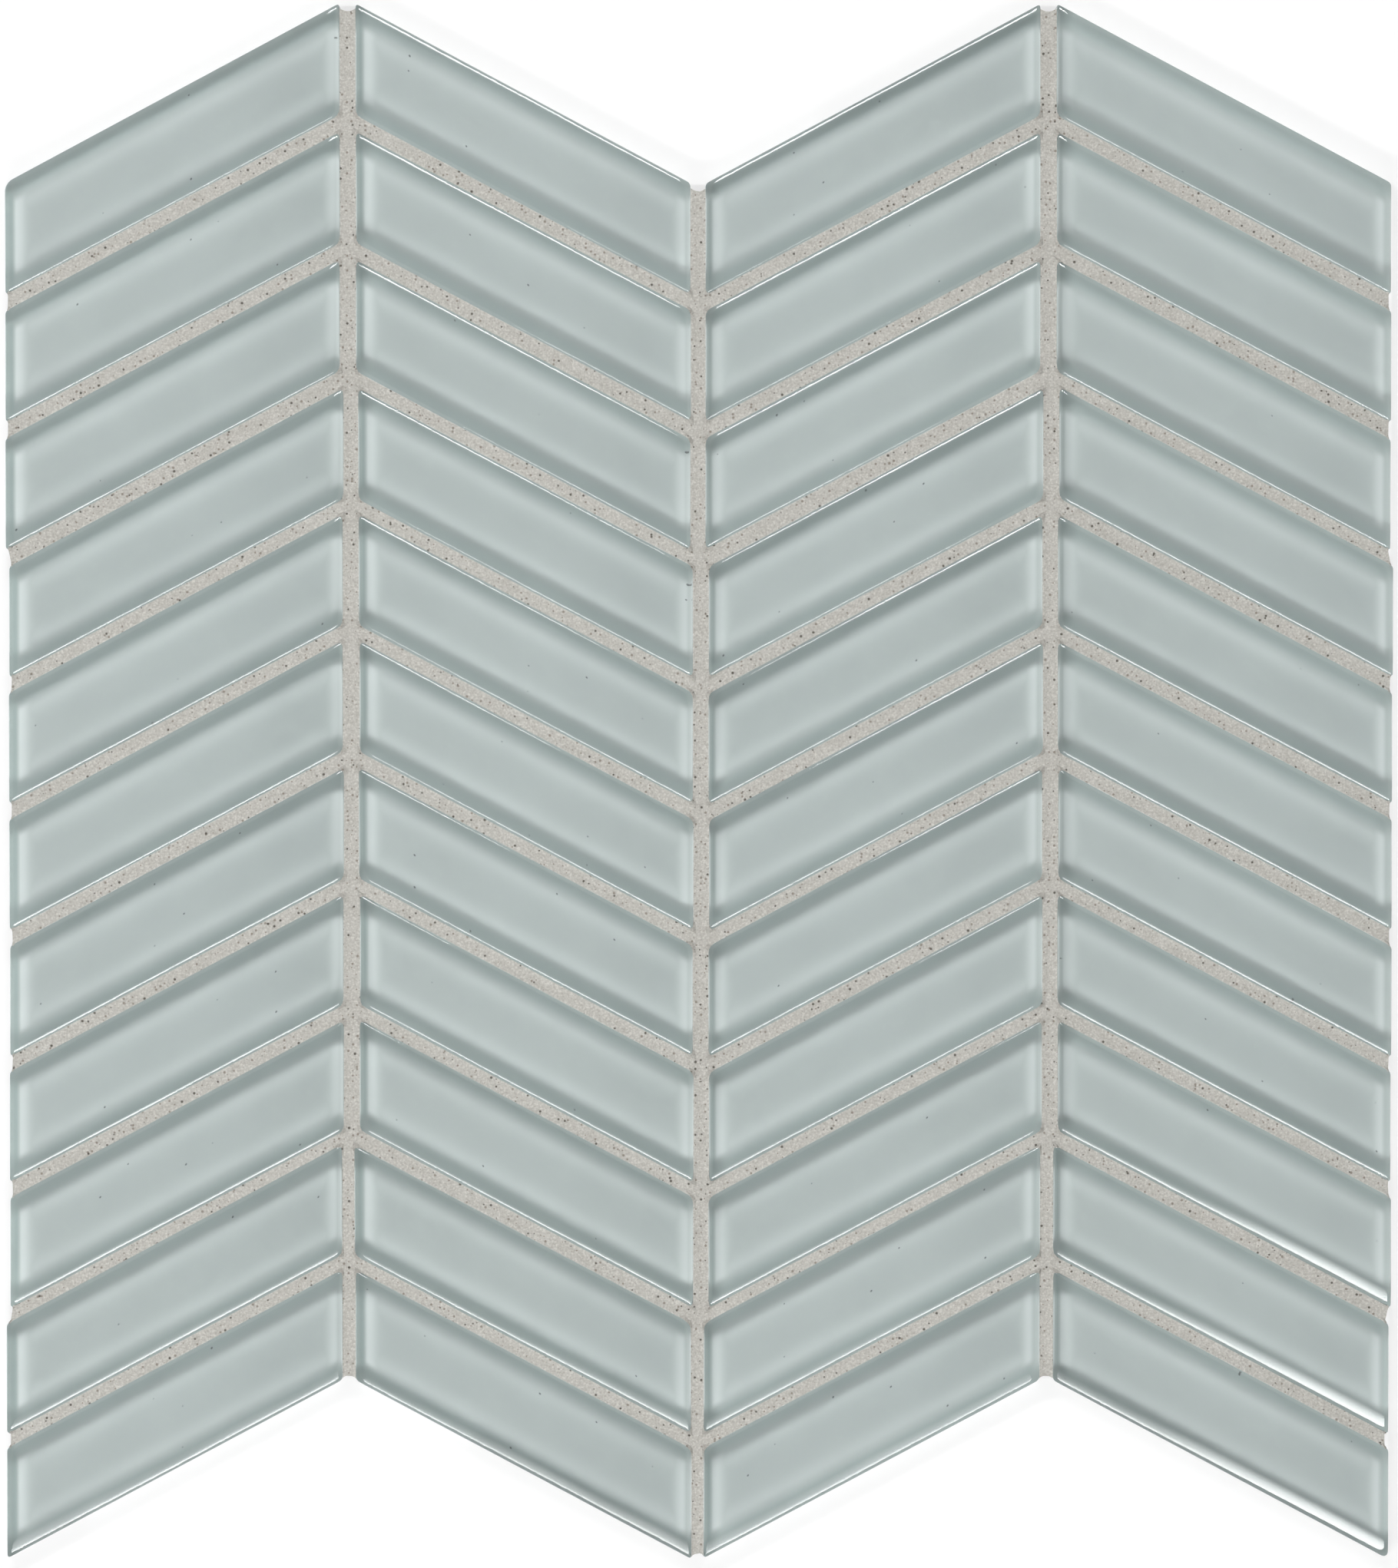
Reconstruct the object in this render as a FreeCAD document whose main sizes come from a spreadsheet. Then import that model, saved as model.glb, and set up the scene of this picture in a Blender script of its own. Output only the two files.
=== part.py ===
import FreeCAD, Part
import os
import Sketcher

# A sheet of chevron mosaic, lying on its back: glass chips in columns that rise and fall by turns,
# a cement grout between them and a glass-fibre mesh glued on behind.
# X runs to the right, Y up the sheet and Z out of the glass face. The origin is the middle of the back.

doc = FreeCAD.newDocument("chevron_mosaic")
sizes = doc.addObject("Spreadsheet::Sheet", "sizes")

# Driving sizes in millimetres, the angle in degrees.
driving_sizes = [
    ("columns", 4),
    ("rows", 11),
    ("chip_width", 73.0),
    ("chip_edge", 24.2),
    ("chip_thickness", 8.0),
    ("chevron_angle", 28.1),
    ("arris_radius", 1.6),
    ("joint_upright", 3.2),
    ("joint_slant", 3.0),
    ("grout_recess", 1.2),
    ("grout_dish", 0.25),
    ("grout_lap", 0.2),
    ("grout_setback", 0.3),
    ("grout_end_hollow", 0.5),
    ("strand_pitch", 5.0),
    ("strand_width", 0.7),
    ("strand_thickness", 0.2),
    ("mesh_margin", 3.0),
]
for line, (alias, value) in enumerate(driving_sizes, start=1):
    sizes.set("A%d" % line, alias)
    sizes.set("B%d" % line, str(value))
    sizes.setAlias("B%d" % line, alias)
doc.recompute()

columns = int(sizes.columns)
rows = int(sizes.rows)

# Sizes that follow from the driving ones.
COLUMN_PITCH = "(sizes.chip_width + sizes.joint_upright)"
JOINT_RISE = "(sizes.joint_slant / cos(sizes.chevron_angle))"
ROW_PITCH = "(sizes.chip_edge + %s)" % JOINT_RISE
SLOPE = "tan(sizes.chevron_angle)"
CHIP_BACK = "(2 * sizes.strand_thickness)"
CHIP_FACE = "(%s + sizes.chip_thickness)" % CHIP_BACK
SHEET_WIDTH = "(sizes.columns * %s - sizes.joint_upright)" % COLUMN_PITCH
SHEET_HEIGHT = "(sizes.rows * %s + %s * %s)" % (ROW_PITCH, COLUMN_PITCH, SLOPE)
EDGE_MIDDLE = "((sizes.rows - 1) / 2 * %s + sizes.chip_edge / 2)" % ROW_PITCH


def column_middle(column):
    return "((%d - (sizes.columns - 1) / 2) * %s)" % (column, COLUMN_PITCH)


def row_middle(row):
    return "(((sizes.rows - 1) / 2 - %d) * %s)" % (row, ROW_PITCH)


def upright_joint(number):
    return "((%d - sizes.columns / 2) * %s)" % (number, COLUMN_PITCH)


def rises(column):
    return column % 2 == 0


def place(thing, x, y, z, turn="0", tip="0"):
    spot = "vector(%s; %s; %s)" % (x, y, z)
    thing.setExpression("Placement", "placement(%s; rotation(%s; %s; 0))" % (spot, turn, tip))


def outline_sketch(body, name):
    sketch = body.newObject("Sketcher::SketchObject", name)
    base_plane = [item for item in body.Origin.OriginFeatures if item.Role == "XY_Plane"][0]
    sketch.AttachmentSupport = [(base_plane, "")]
    sketch.MapMode = "FlatFace"
    return sketch


def close_outline(sketch, corners):
    count = len(corners)
    for number in range(count):
        start = FreeCAD.Vector(*corners[number], 0)
        end = FreeCAD.Vector(*corners[(number + 1) % count], 0)
        sketch.addGeometry(Part.LineSegment(start, end))
    for number in range(count):
        sketch.addConstraint(Sketcher.Constraint("Coincident", number, 2, (number + 1) % count, 1))


def drive(sketch, name, constraint, formula):
    number = sketch.addConstraint(constraint)
    sketch.renameConstraint(number, name)
    sketch.setExpression("Constraints." + name, formula)


def pad_outline(body, sketch, name, depth):
    pad = body.newObject("PartDesign::Pad", name)
    pad.Profile = sketch
    pad.setExpression("Length", depth)
    sketch.Visibility = False
    body.Tip = pad
    return pad


# A chip is a parallelogram with upright ends. Its lower left corner and upper right corner lie
# opposite each other about the middle, and the long sides rise or fall at the chevron angle.
def glass_chip(label, column, row):
    body = doc.addObject("PartDesign::Body", label)
    sketch = outline_sketch(body, label + "_outline")
    half_width = float(sizes.chip_width) / 2
    half_edge = float(sizes.chip_edge) / 2
    lean = half_width / 2 if rises(column) else -half_width / 2
    close_outline(sketch, [
        (-half_width, -lean - half_edge),
        (half_width, lean - half_edge),
        (half_width, lean + half_edge),
        (-half_width, -lean + half_edge),
    ])
    sketch.addConstraint(Sketcher.Constraint("Vertical", 1))
    sketch.addConstraint(Sketcher.Constraint("Vertical", 3))
    sketch.addConstraint(Sketcher.Constraint("Symmetric", 0, 1, 2, 1, -1, 1))
    drive(sketch, "right_edge", Sketcher.Constraint("DistanceY", 1, 1, 1, 2, half_edge), "sizes.chip_edge")
    drive(sketch, "left_edge", Sketcher.Constraint("DistanceY", 3, 2, 3, 1, half_edge), "sizes.chip_edge")
    drive(sketch, "across", Sketcher.Constraint("DistanceX", 0, 1, 0, 2, half_width), "sizes.chip_width")
    low, high = (1, 2) if rises(column) else (2, 1)
    climb = Sketcher.Constraint("DistanceY", 0, low, 0, high, half_width)
    drive(sketch, "climb", climb, "sizes.chip_width * " + SLOPE)

    block = pad_outline(body, sketch, label + "_block", "sizes.chip_thickness")
    doc.recompute()
    arrises = []
    for number, edge in enumerate(block.Shape.Edges, start=1):
        if min(vertex.Z for vertex in edge.Vertexes) > float(sizes.chip_thickness) / 2:
            arrises.append("Edge%d" % number)
    polished = body.newObject("PartDesign::Fillet", label + "_polished")
    polished.Base = (block, arrises)
    polished.setExpression("Radius", "sizes.arris_radius")
    body.Tip = polished
    place(body, column_middle(column), row_middle(row), CHIP_BACK)
    return body


chips = []
for column in range(columns):
    for row in range(rows):
        chips.append(glass_chip("chip_c%d_r%02d" % (column + 1, row + 1), column, row))


# The zigzag outline of the sheet, brought in by the same distance all round.
def zigzag_slab(label, inset, depth, height):
    body = doc.addObject("PartDesign::Body", label)
    sketch = outline_sketch(body, label + "_outline")
    along = list(range(columns + 1))
    reach = float(sizes.columns) * float(sizes.chip_width) / 2
    rise = float(sizes.rows) * float(sizes.chip_edge) / 2
    corners = []
    for side, numbers in ((1, along), (-1, along[::-1])):
        for number in numbers:
            lift = 10.0 if number % 2 else -10.0
            corners.append((reach * (2.0 * number / columns - 1), side * rise + lift))
    close_outline(sketch, corners)
    for corner in range(2 * len(along)):
        upper = corner < len(along)
        number = corner if upper else 2 * len(along) - 1 - corner
        if number == 0:
            x_formula = "(-%s / 2 + %s)" % (SHEET_WIDTH, inset)
            step = "(sizes.chip_width / 2 - %s)" % inset
        elif number == columns:
            x_formula = "(%s / 2 - %s)" % (SHEET_WIDTH, inset)
            step = "(sizes.chip_width / 2 - %s)" % inset
        else:
            x_formula = upright_joint(number)
            step = "(%s / 2)" % COLUMN_PITCH
        lift_sign = "+" if number % 2 else "-"
        edge = "(%s - %s / cos(sizes.chevron_angle))" % (EDGE_MIDDLE, inset)
        y_formula = "%s%s %s %s * %s" % ("" if upper else "-", edge, lift_sign, step, SLOPE)
        spot_x = Sketcher.Constraint("DistanceX", -1, 1, corner, 1, corners[corner][0])
        spot_y = Sketcher.Constraint("DistanceY", -1, 1, corner, 1, corners[corner][1])
        drive(sketch, "x_%d" % corner, spot_x, x_formula)
        drive(sketch, "y_%d" % corner, spot_y, y_formula)
    pad_outline(body, sketch, label + "_block", depth)
    place(body, "0", "0", height)
    return body


def together(label, things):
    group = doc.addObject("Part::Compound", label)
    group.Links = things
    return group


def cut_away(label, base, tool):
    rest = doc.addObject("Part::Cut", label)
    rest.Base = base
    rest.Tool = tool
    return rest


# Radius of the arc that spans a width with the given hollow at its middle.
def hollow_radius(width, hollow):
    return "((%s * %s / 4 + %s * %s) / (2 * %s))" % (width, width, hollow, hollow, hollow)


def roller(label, radius, length, x, y, z, turn="0", tip="0"):
    tool = doc.addObject("Part::Cylinder", label)
    tool.setExpression("Radius", radius)
    tool.setExpression("Height", length)
    place(tool, x, y, z, turn, tip)
    return tool


# The grout starts as a slab that the chips are pressed into. A rounded jointer then strikes it
# hollow, first down the upright joints and then along the slanted ones. It laps a little onto the
# rounded edges of the glass, so that no flat ledge is left beside them.
POUR_DEPTH = "sizes.chip_thickness - sizes.grout_recess"
pour = zigzag_slab("grout_pour", "sizes.grout_setback", POUR_DEPTH, CHIP_BACK)
set_chips = together("set_chips", chips)
filled = cut_away("grout_filled", pour, set_chips)

STRIKE_LEVEL = "(%s - sizes.grout_recess - sizes.grout_dish)" % CHIP_FACE
UPRIGHT_ROLL = hollow_radius("(sizes.joint_upright + 2 * sizes.grout_lap)", "sizes.grout_dish")
SLANT_ROLL = hollow_radius("(sizes.joint_slant + 2 * sizes.grout_lap)", "sizes.grout_dish")

strokes = []
for number in range(1, columns):
    strokes.append(roller(
        "upright_stroke_%d" % number, UPRIGHT_ROLL, SHEET_HEIGHT,
        upright_joint(number), "%s / 2" % SHEET_HEIGHT, "%s + %s" % (STRIKE_LEVEL, UPRIGHT_ROLL),
        turn="90", tip="-90"))
struck = cut_away("grout_upright_struck", filled, together("upright_strokes", strokes))

for parity, name in ((0, "rising"), (1, "falling")):
    strokes = []
    for column in range(parity, columns, 2):
        sign = "" if rises(column) else "-"
        for row in range(1, rows):
            start_x = "%s - %s / 2" % (column_middle(column), COLUMN_PITCH)
            start_y = "%s + %s / 2 - (%s%s) * %s / 2" % (row_middle(row), ROW_PITCH, sign, SLOPE, COLUMN_PITCH)
            strokes.append(roller(
                "%s_stroke_c%d_r%02d" % (name, column + 1, row), SLANT_ROLL,
                "%s / cos(sizes.chevron_angle)" % COLUMN_PITCH,
                start_x, start_y, "%s + %s" % (STRIKE_LEVEL, SLANT_ROLL),
                turn="%ssizes.chevron_angle" % sign, tip="90"))
    struck = cut_away("grout_%s_struck" % name, struck, together("%s_strokes" % name, strokes))

# Where a joint runs out at the edge of the sheet, a finger wipes its end hollow.
SIDE_OPENING = "(%s + 2 * sizes.grout_lap)" % JOINT_RISE
SIDE_WIPE = hollow_radius(SIDE_OPENING, "sizes.grout_end_hollow")
TIP_OPENING = "(sizes.joint_upright + 2 * sizes.grout_lap)"
TIP_WIPE = hollow_radius(TIP_OPENING, "sizes.grout_end_hollow")
WIPE_DEPTH = "(sizes.grout_setback + sizes.grout_end_hollow)"
SIDE_LINE = "(%s / 2 - %s + %s)" % (SHEET_WIDTH, WIPE_DEPTH, SIDE_WIPE)

wipes = []
for row in range(1, rows):
    for name, sign, column in (("left", "-", 0), ("right", "", columns - 1)):
        fall = "(%s / 2 * %s)" % ("sizes.chip_width", SLOPE)
        uphill = rises(column) == (name == "right")
        joint_end = "%s + %s / 2 %s %s" % (row_middle(row), ROW_PITCH, "+" if uphill else "-", fall)
        wipes.append(roller(
            "%s_wipe_%02d" % (name, row), SIDE_WIPE, CHIP_FACE,
            sign + SIDE_LINE, joint_end, "0"))
for number in range(1, columns):
    for name, sign in (("upper", ""), ("lower", "-")):
        lift_sign = "+" if number % 2 else "-"
        corner = "%s%s %s sizes.chip_width / 2 * %s" % (sign, EDGE_MIDDLE, lift_sign, SLOPE)
        away = "(%s - %s)" % (TIP_WIPE, WIPE_DEPTH)
        wipes.append(roller(
            "%s_wipe_%d" % (name, number), TIP_WIPE, CHIP_FACE,
            upright_joint(number), "%s %s %s" % (corner, "-" if sign else "+", away), "0"))
grout = cut_away("grout", struck, together("end_wipes", wipes))


# The mesh is two layers of straight strands, trimmed a little inside the zigzag outline.
def strand_layer(label, count, run, width_formula, length_formula, level, along_y):
    strands = []
    for number in range(count):
        strand = doc.addObject("Part::Box", "%s_strand_%02d" % (label, number + 1))
        across = "(%d - %d / 2) * sizes.strand_pitch - sizes.strand_width / 2" % (number, count - 1)
        start = "-%s / 2" % run
        strand.setExpression("Height", "sizes.strand_thickness")
        strand.setExpression("Width" if along_y else "Length", length_formula)
        strand.setExpression("Length" if along_y else "Width", width_formula)
        if along_y:
            place(strand, across, start, level)
        else:
            place(strand, start, across, level)
        strands.append(strand)
    return together(label + "_strands", strands)


trim = zigzag_slab("mesh_trim", "sizes.mesh_margin", CHIP_BACK, "0")
doc.recompute()
trim_box = trim.Shape.BoundBox
layers = (
    ("backing_mesh_warp", trim_box.XLength, SHEET_HEIGHT, "0", True),
    ("backing_mesh_weft", trim_box.YLength, SHEET_WIDTH, "sizes.strand_thickness", False),
)
meshes = []
for label, spread, run, level, along_y in layers:
    count = int((spread - 2 * float(sizes.strand_width)) / float(sizes.strand_pitch)) + 1
    laid = strand_layer(label, count, run, "sizes.strand_width", run, level, along_y)
    trimmed = doc.addObject("Part::Common", label)
    trimmed.Base = laid
    trimmed.Tool = trim
    meshes.append(trimmed)

doc.recompute()
for item in doc.Objects:
    if "Invalid" in item.State or "Error" in item.State:
        raise RuntimeError("%s did not build: %s" % (item.Label, item.State))
    shape = getattr(item, "Shape", None)
    if shape is not None and item.TypeId != "Sketcher::SketchObject":
        if shape.isNull() or not shape.isValid():
            raise RuntimeError("%s has no sound shape" % item.Label)

os.makedirs("parts", exist_ok=True)
for piece in chips + [grout] + meshes:
    print(piece.Label, len(piece.Shape.Solids), round(piece.Shape.Volume, 2))
    piece.Shape.exportStep("parts/%s.step" % piece.Label)
print("sheet", grout.Shape.BoundBox)
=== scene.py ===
# %% [markdown]
# A sheet of chevron mosaic lies on its back, and the camera looks down on its glass face.
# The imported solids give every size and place: 44 glass chips, the grout between them and the
# mesh that is glued on behind. This lesson dresses each of them for a close look.

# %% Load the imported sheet
import math
import random

import bpy
import numpy as np
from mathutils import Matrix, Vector, noise


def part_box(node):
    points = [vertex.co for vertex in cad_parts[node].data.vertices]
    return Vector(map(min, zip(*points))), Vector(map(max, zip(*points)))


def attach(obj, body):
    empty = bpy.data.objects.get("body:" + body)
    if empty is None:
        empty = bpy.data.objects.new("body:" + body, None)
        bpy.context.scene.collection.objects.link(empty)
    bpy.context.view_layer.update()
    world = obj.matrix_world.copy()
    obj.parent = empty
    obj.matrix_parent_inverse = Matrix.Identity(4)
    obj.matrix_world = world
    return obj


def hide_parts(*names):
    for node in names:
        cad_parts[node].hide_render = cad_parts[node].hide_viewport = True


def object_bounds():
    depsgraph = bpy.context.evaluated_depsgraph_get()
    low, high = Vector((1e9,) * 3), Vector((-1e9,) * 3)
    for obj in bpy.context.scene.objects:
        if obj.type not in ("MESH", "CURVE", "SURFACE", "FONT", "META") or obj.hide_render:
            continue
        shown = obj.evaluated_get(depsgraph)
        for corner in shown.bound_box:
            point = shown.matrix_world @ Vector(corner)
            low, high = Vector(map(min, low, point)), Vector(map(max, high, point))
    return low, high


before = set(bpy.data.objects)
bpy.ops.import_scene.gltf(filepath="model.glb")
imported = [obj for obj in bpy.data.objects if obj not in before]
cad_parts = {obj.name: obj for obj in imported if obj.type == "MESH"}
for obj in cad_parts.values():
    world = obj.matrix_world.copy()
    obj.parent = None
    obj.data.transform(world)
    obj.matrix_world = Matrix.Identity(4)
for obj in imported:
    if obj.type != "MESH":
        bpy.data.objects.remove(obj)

cad_box = [list(map(float, corner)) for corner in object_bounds()]
print("solids span", cad_box)

# %% [markdown]
# The sizes are read from the solids, so the dressing always fits them. A chip is a parallelogram
# with upright ends. Its box gives its width, and its height is the upright end plus the climb of
# the slanted side, so the chevron angle is enough to tell the two apart.

# %% Measure the sheet
MM = 0.001
COLUMNS = 4
ROWS = 11
CHEVRON_ANGLE = math.radians(28.1)
CLIMB = math.tan(CHEVRON_ANGLE)


def chip_name(column, row):
    return "chip_c%d_r%02d" % (column + 1, row + 1)


def rises(column):
    return 1 if column % 2 == 0 else -1


def middle(low, high, axis):
    return (low[axis] + high[axis]) / 2


first_low, first_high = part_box(chip_name(0, 0))
beside_low, beside_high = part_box(chip_name(1, 0))
below_low, below_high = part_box(chip_name(0, 1))
CHIP_WIDTH = first_high[0] - first_low[0]
CHIP_EDGE = first_high[1] - first_low[1] - CHIP_WIDTH * CLIMB
CHIP_BACK = first_low[2]
CHIP_FACE = first_high[2]
CHIP_DEPTH = CHIP_FACE - CHIP_BACK
COLUMN_PITCH = middle(beside_low, beside_high, 0) - middle(first_low, first_high, 0)
ROW_PITCH = middle(first_low, first_high, 1) - middle(below_low, below_high, 1)
UPRIGHT_JOINT = COLUMN_PITCH - CHIP_WIDTH
SLANT_JOINT = (ROW_PITCH - CHIP_EDGE) * math.cos(CHEVRON_ANGLE)


def column_middle(column):
    return (column - (COLUMNS - 1) / 2) * COLUMN_PITCH


def row_middle(row):
    return ((ROWS - 1) / 2 - row) * ROW_PITCH


print("chip %.1f x %.1f x %.1f mm" % (CHIP_WIDTH / MM, CHIP_EDGE / MM, CHIP_DEPTH / MM))
print("joints %.1f and %.1f mm" % (UPRIGHT_JOINT / MM, SLANT_JOINT / MM))

# %% [markdown]
# No chip is set quite true by hand. In the photograph the rows were laid in three lots that stand
# a little to the left or right of each other, and the last two rows are a trifle wider. The joints
# are slightly wider at the top than at the bottom, so the middle rows sit low. On top of that a
# fixed seed gives each chip a shift of about a tenth of a millimetre and a slight turn. The grout
# reads the same numbers later, because it fills whatever joint is left.

# %% Set the chips by hand
ROW_LOTS = ((3, -0.2 * MM), (9, 0.4 * MM), (11, -0.3 * MM))
WIDTH_LOTS = ((9, -0.2 * MM), (11, 0.4 * MM))
ROW_SAG = 0.6 * MM
SETTING_SHIFT = 0.12 * MM
SETTING_TURN = math.radians(0.1)
setter = random.Random(11)


def of_row(lots, row):
    for last_row, value in lots:
        if row < last_row:
            return value


def row_sag(row):
    from_middle = 2 * row / (ROWS - 1) - 1
    return ROW_SAG * (from_middle ** 2 - 1)


settings = {}
for column in range(COLUMNS):
    for row in range(ROWS):
        settings[column, row] = (
            of_row(ROW_LOTS, row) + setter.uniform(-1, 1) * SETTING_SHIFT,
            row_sag(row) + setter.uniform(-1, 1) * SETTING_SHIFT,
            setter.uniform(-1, 1) * SETTING_TURN,
        )
print("set", len(settings), "chips, the largest turn", round(SETTING_TURN, 5), "rad")

# %% [markdown]
# Geometry Nodes trees are easier to read when the sums look like sums. These helpers add one node
# and give back its output socket, so a formula can be written from the inside out.

# %% Helpers for node trees


def place_node(tree, kind, values=None, **settings_of_node):
    node = tree.nodes.new(kind)
    for name, value in settings_of_node.items():
        setattr(node, name, value)
    for key, value in (values or {}).items():
        socket = node.inputs[key]
        if isinstance(value, bpy.types.NodeSocket):
            tree.links.new(value, socket)
        else:
            socket.default_value = value
    return node


def maths(tree, operation, *terms):
    values = dict(enumerate(terms))
    return place_node(tree, "ShaderNodeMath", values, operation=operation).outputs[0]


def add_up(tree, *terms):
    total = terms[0]
    for term in terms[1:]:
        total = maths(tree, "ADD", total, term)
    return total


def times(tree, *terms):
    product = terms[0]
    for term in terms[1:]:
        product = maths(tree, "MULTIPLY", product, term)
    return product


def less(tree, first, second):
    return maths(tree, "SUBTRACT", first, second)


def split(tree, vector):
    return place_node(tree, "ShaderNodeSeparateXYZ", {0: vector}).outputs


def joined(tree, x, y, z):
    return place_node(tree, "ShaderNodeCombineXYZ", {0: x, 1: y, 2: z}).outputs[0]


SOCKETS = {
    "number": "NodeSocketFloat",
    "count": "NodeSocketInt",
    "vector": "NodeSocketVector",
    "material": "NodeSocketMaterial",
    "shape": "NodeSocketGeometry",
}


def shape_tree(name, inputs):
    tree = bpy.data.node_groups.new(name, "GeometryNodeTree")
    tree.is_modifier = True
    for label, kind in inputs:
        tree.interface.new_socket(label, in_out="INPUT", socket_type=SOCKETS[kind])
    tree.interface.new_socket("Shape", in_out="OUTPUT", socket_type=SOCKETS["shape"])
    given = tree.nodes.new("NodeGroupInput").outputs
    result = tree.nodes.new("NodeGroupOutput").inputs[0]
    return tree, given, result


def made_by(tree, name, values, base=None):
    piece = bpy.data.objects.new(name, base or bpy.data.meshes.new(name))
    bpy.context.scene.collection.objects.link(piece)
    modifier = piece.modifiers.new(tree.name, "NODES")
    modifier.node_group = tree
    for item in tree.interface.items_tree:
        if item.in_out == "INPUT" and item.name in values:
            modifier[item.identifier] = values[item.name]
    depsgraph = bpy.context.evaluated_depsgraph_get()
    plain = bpy.data.meshes.new_from_object(piece.evaluated_get(depsgraph))
    piece.modifiers.clear()
    piece.data = plain
    plain.name = name
    return piece


print("helpers ready")

# %% [markdown]
# Each finish is a Principled shader with its detail mixed in front of it. `finish` makes the
# material, and the small functions after it give the patterns that several finishes share.

# %% Helpers for finishes


def finish(name):
    material = bpy.data.materials.new(name)
    material.use_nodes = True
    tree = material.node_tree
    return material, tree, tree.nodes["Principled BSDF"]


def grain(tree, place, scale, detail=3.0, roughness=0.55):
    values = {"Vector": place, "Scale": scale, "Detail": detail, "Roughness": roughness}
    return place_node(tree, "ShaderNodeTexNoise", values).outputs["Fac"]


def fade(tree, value, start, end, low=0.0, high=1.0):
    values = {"Value": value, "From Min": start, "From Max": end, "To Min": low, "To Max": high}
    return place_node(tree, "ShaderNodeMapRange", values, interpolation_type="SMOOTHSTEP").outputs[0]


def hill(tree, value, peak, rise, fall):
    past = less(tree, value, peak)
    before = maths(tree, "DIVIDE", maths(tree, "MINIMUM", past, 0.0), rise)
    after = maths(tree, "DIVIDE", maths(tree, "MAXIMUM", past, 0.0), fall)
    across = add_up(tree, times(tree, before, before), times(tree, after, after))
    return maths(tree, "EXPONENT", times(tree, across, -1.0))


def blend(tree, factor, first, second, mode="MIX"):
    node = place_node(tree, "ShaderNodeMix", data_type="RGBA", blend_type=mode)
    for key, value in ((0, factor), (6, first), (7, second)):
        if isinstance(value, bpy.types.NodeSocket):
            tree.links.new(value, node.inputs[key])
        else:
            node.inputs[key].default_value = value
    return node.outputs[2]


def spots(tree, place, scale, share, radius, dimensions="3D"):
    cells = place_node(
        tree, "ShaderNodeTexVoronoi", {"Vector": place, "Scale": scale},
        feature="F1", voronoi_dimensions=dimensions)
    lot = place_node(tree, "ShaderNodeSeparateColor", {0: cells.outputs["Color"]}).outputs[0]
    chosen = maths(tree, "LESS_THAN", lot, share)
    size = times(tree, radius, fade(tree, lot, 0.0, share, 0.5, 1.0))
    near = fade(tree, cells.outputs["Distance"], times(tree, size, 0.6), size, 1.0, 0.0)
    return times(tree, chosen, near)


def bumped(tree, shader, height, strength, distance):
    bump = place_node(
        tree, "ShaderNodeBump", {"Height": height, "Strength": strength, "Distance": distance})
    tree.links.new(bump.outputs["Normal"], shader.inputs["Normal"])


print("finishes can be mixed")

# %% [markdown]
# The colour of such a chip sits behind it: a pale grey green coat on the back of clear glass. The
# rounded rim works as a lens and gathers lamp light in a pale line a little way inside the edge. A
# renderer meets that light only by chance, so the line is written into the coat, from the place
# on the chip that each mesh carries with it as an attribute, in millimetres from the chip's middle.
# A line is written as its peak, the run up to it and the run down from it.
# Painted shade is written into the coat as well: it is darker and greener near the ends and the
# slanted sides.

# %% Colour coat behind the glass
COAT_COLOUR = (0.364, 0.405, 0.400, 1.0)
COAT_PALE = (0.55, 0.60, 0.595, 1.0)
# Painted shade: the darker, greener coat near the ends and the slanted sides, where the chip is
# shaded.
EDGE_SHADE_COLOUR = (0.31, 0.378, 0.367, 1.0)
# Painted shade: the coat darkens towards the right end of every chip, as the lamps stand to the left.
RIGHT_SHADE_COLOUR = (0.332, 0.371, 0.366, 1.0)
COAT_SPECK = (0.10, 0.11, 0.11, 1.0)
LOT_SPREAD = 9000.0
LOT_PALENESS = 0.03
LEFT_LINE = (2.2, 0.6, 1.9)
LEFT_STRENGTH = 0.76
RIGHT_LINE = (1.9, 0.6, 1.5)
RIGHT_STRENGTH = 0.58
END_LINE_STOP = (3.0, 4.6)
SIDE_LINE = (5.0, 1.0, 1.9)
SIDE_STRENGTH = 0.24
SIDE_LINE_STOP = (1.0, 3.0)
# Painted shade runs at the ends, wider at the left end, and along the slanted sides.
LEFT_END_SHADE_RUN = (1.2, 2.1, 0.8, 0.0)
RIGHT_END_SHADE_RUN = (0.3, 1.2, 0.8, 0.0)
SIDE_SHADE_RUN = (2.2, 4.0, 0.5, 0.0)
RIGHT_SHADE_RUN = (4.0, 30.0, 0.15, 0.75)
CLOUD_SCALE = 0.09
CLOUD_RANGE = (0.3, 0.7, 0.0, 0.05)
COAT_GRAIN = 0.6
COAT_ROUGHNESS = (0.3, 0.7, 0.5, 0.7)
SPECK_SPOTS = (0.16, 0.08, 0.045, "2D")
SPECK_STRENGTH = 0.8


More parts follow.
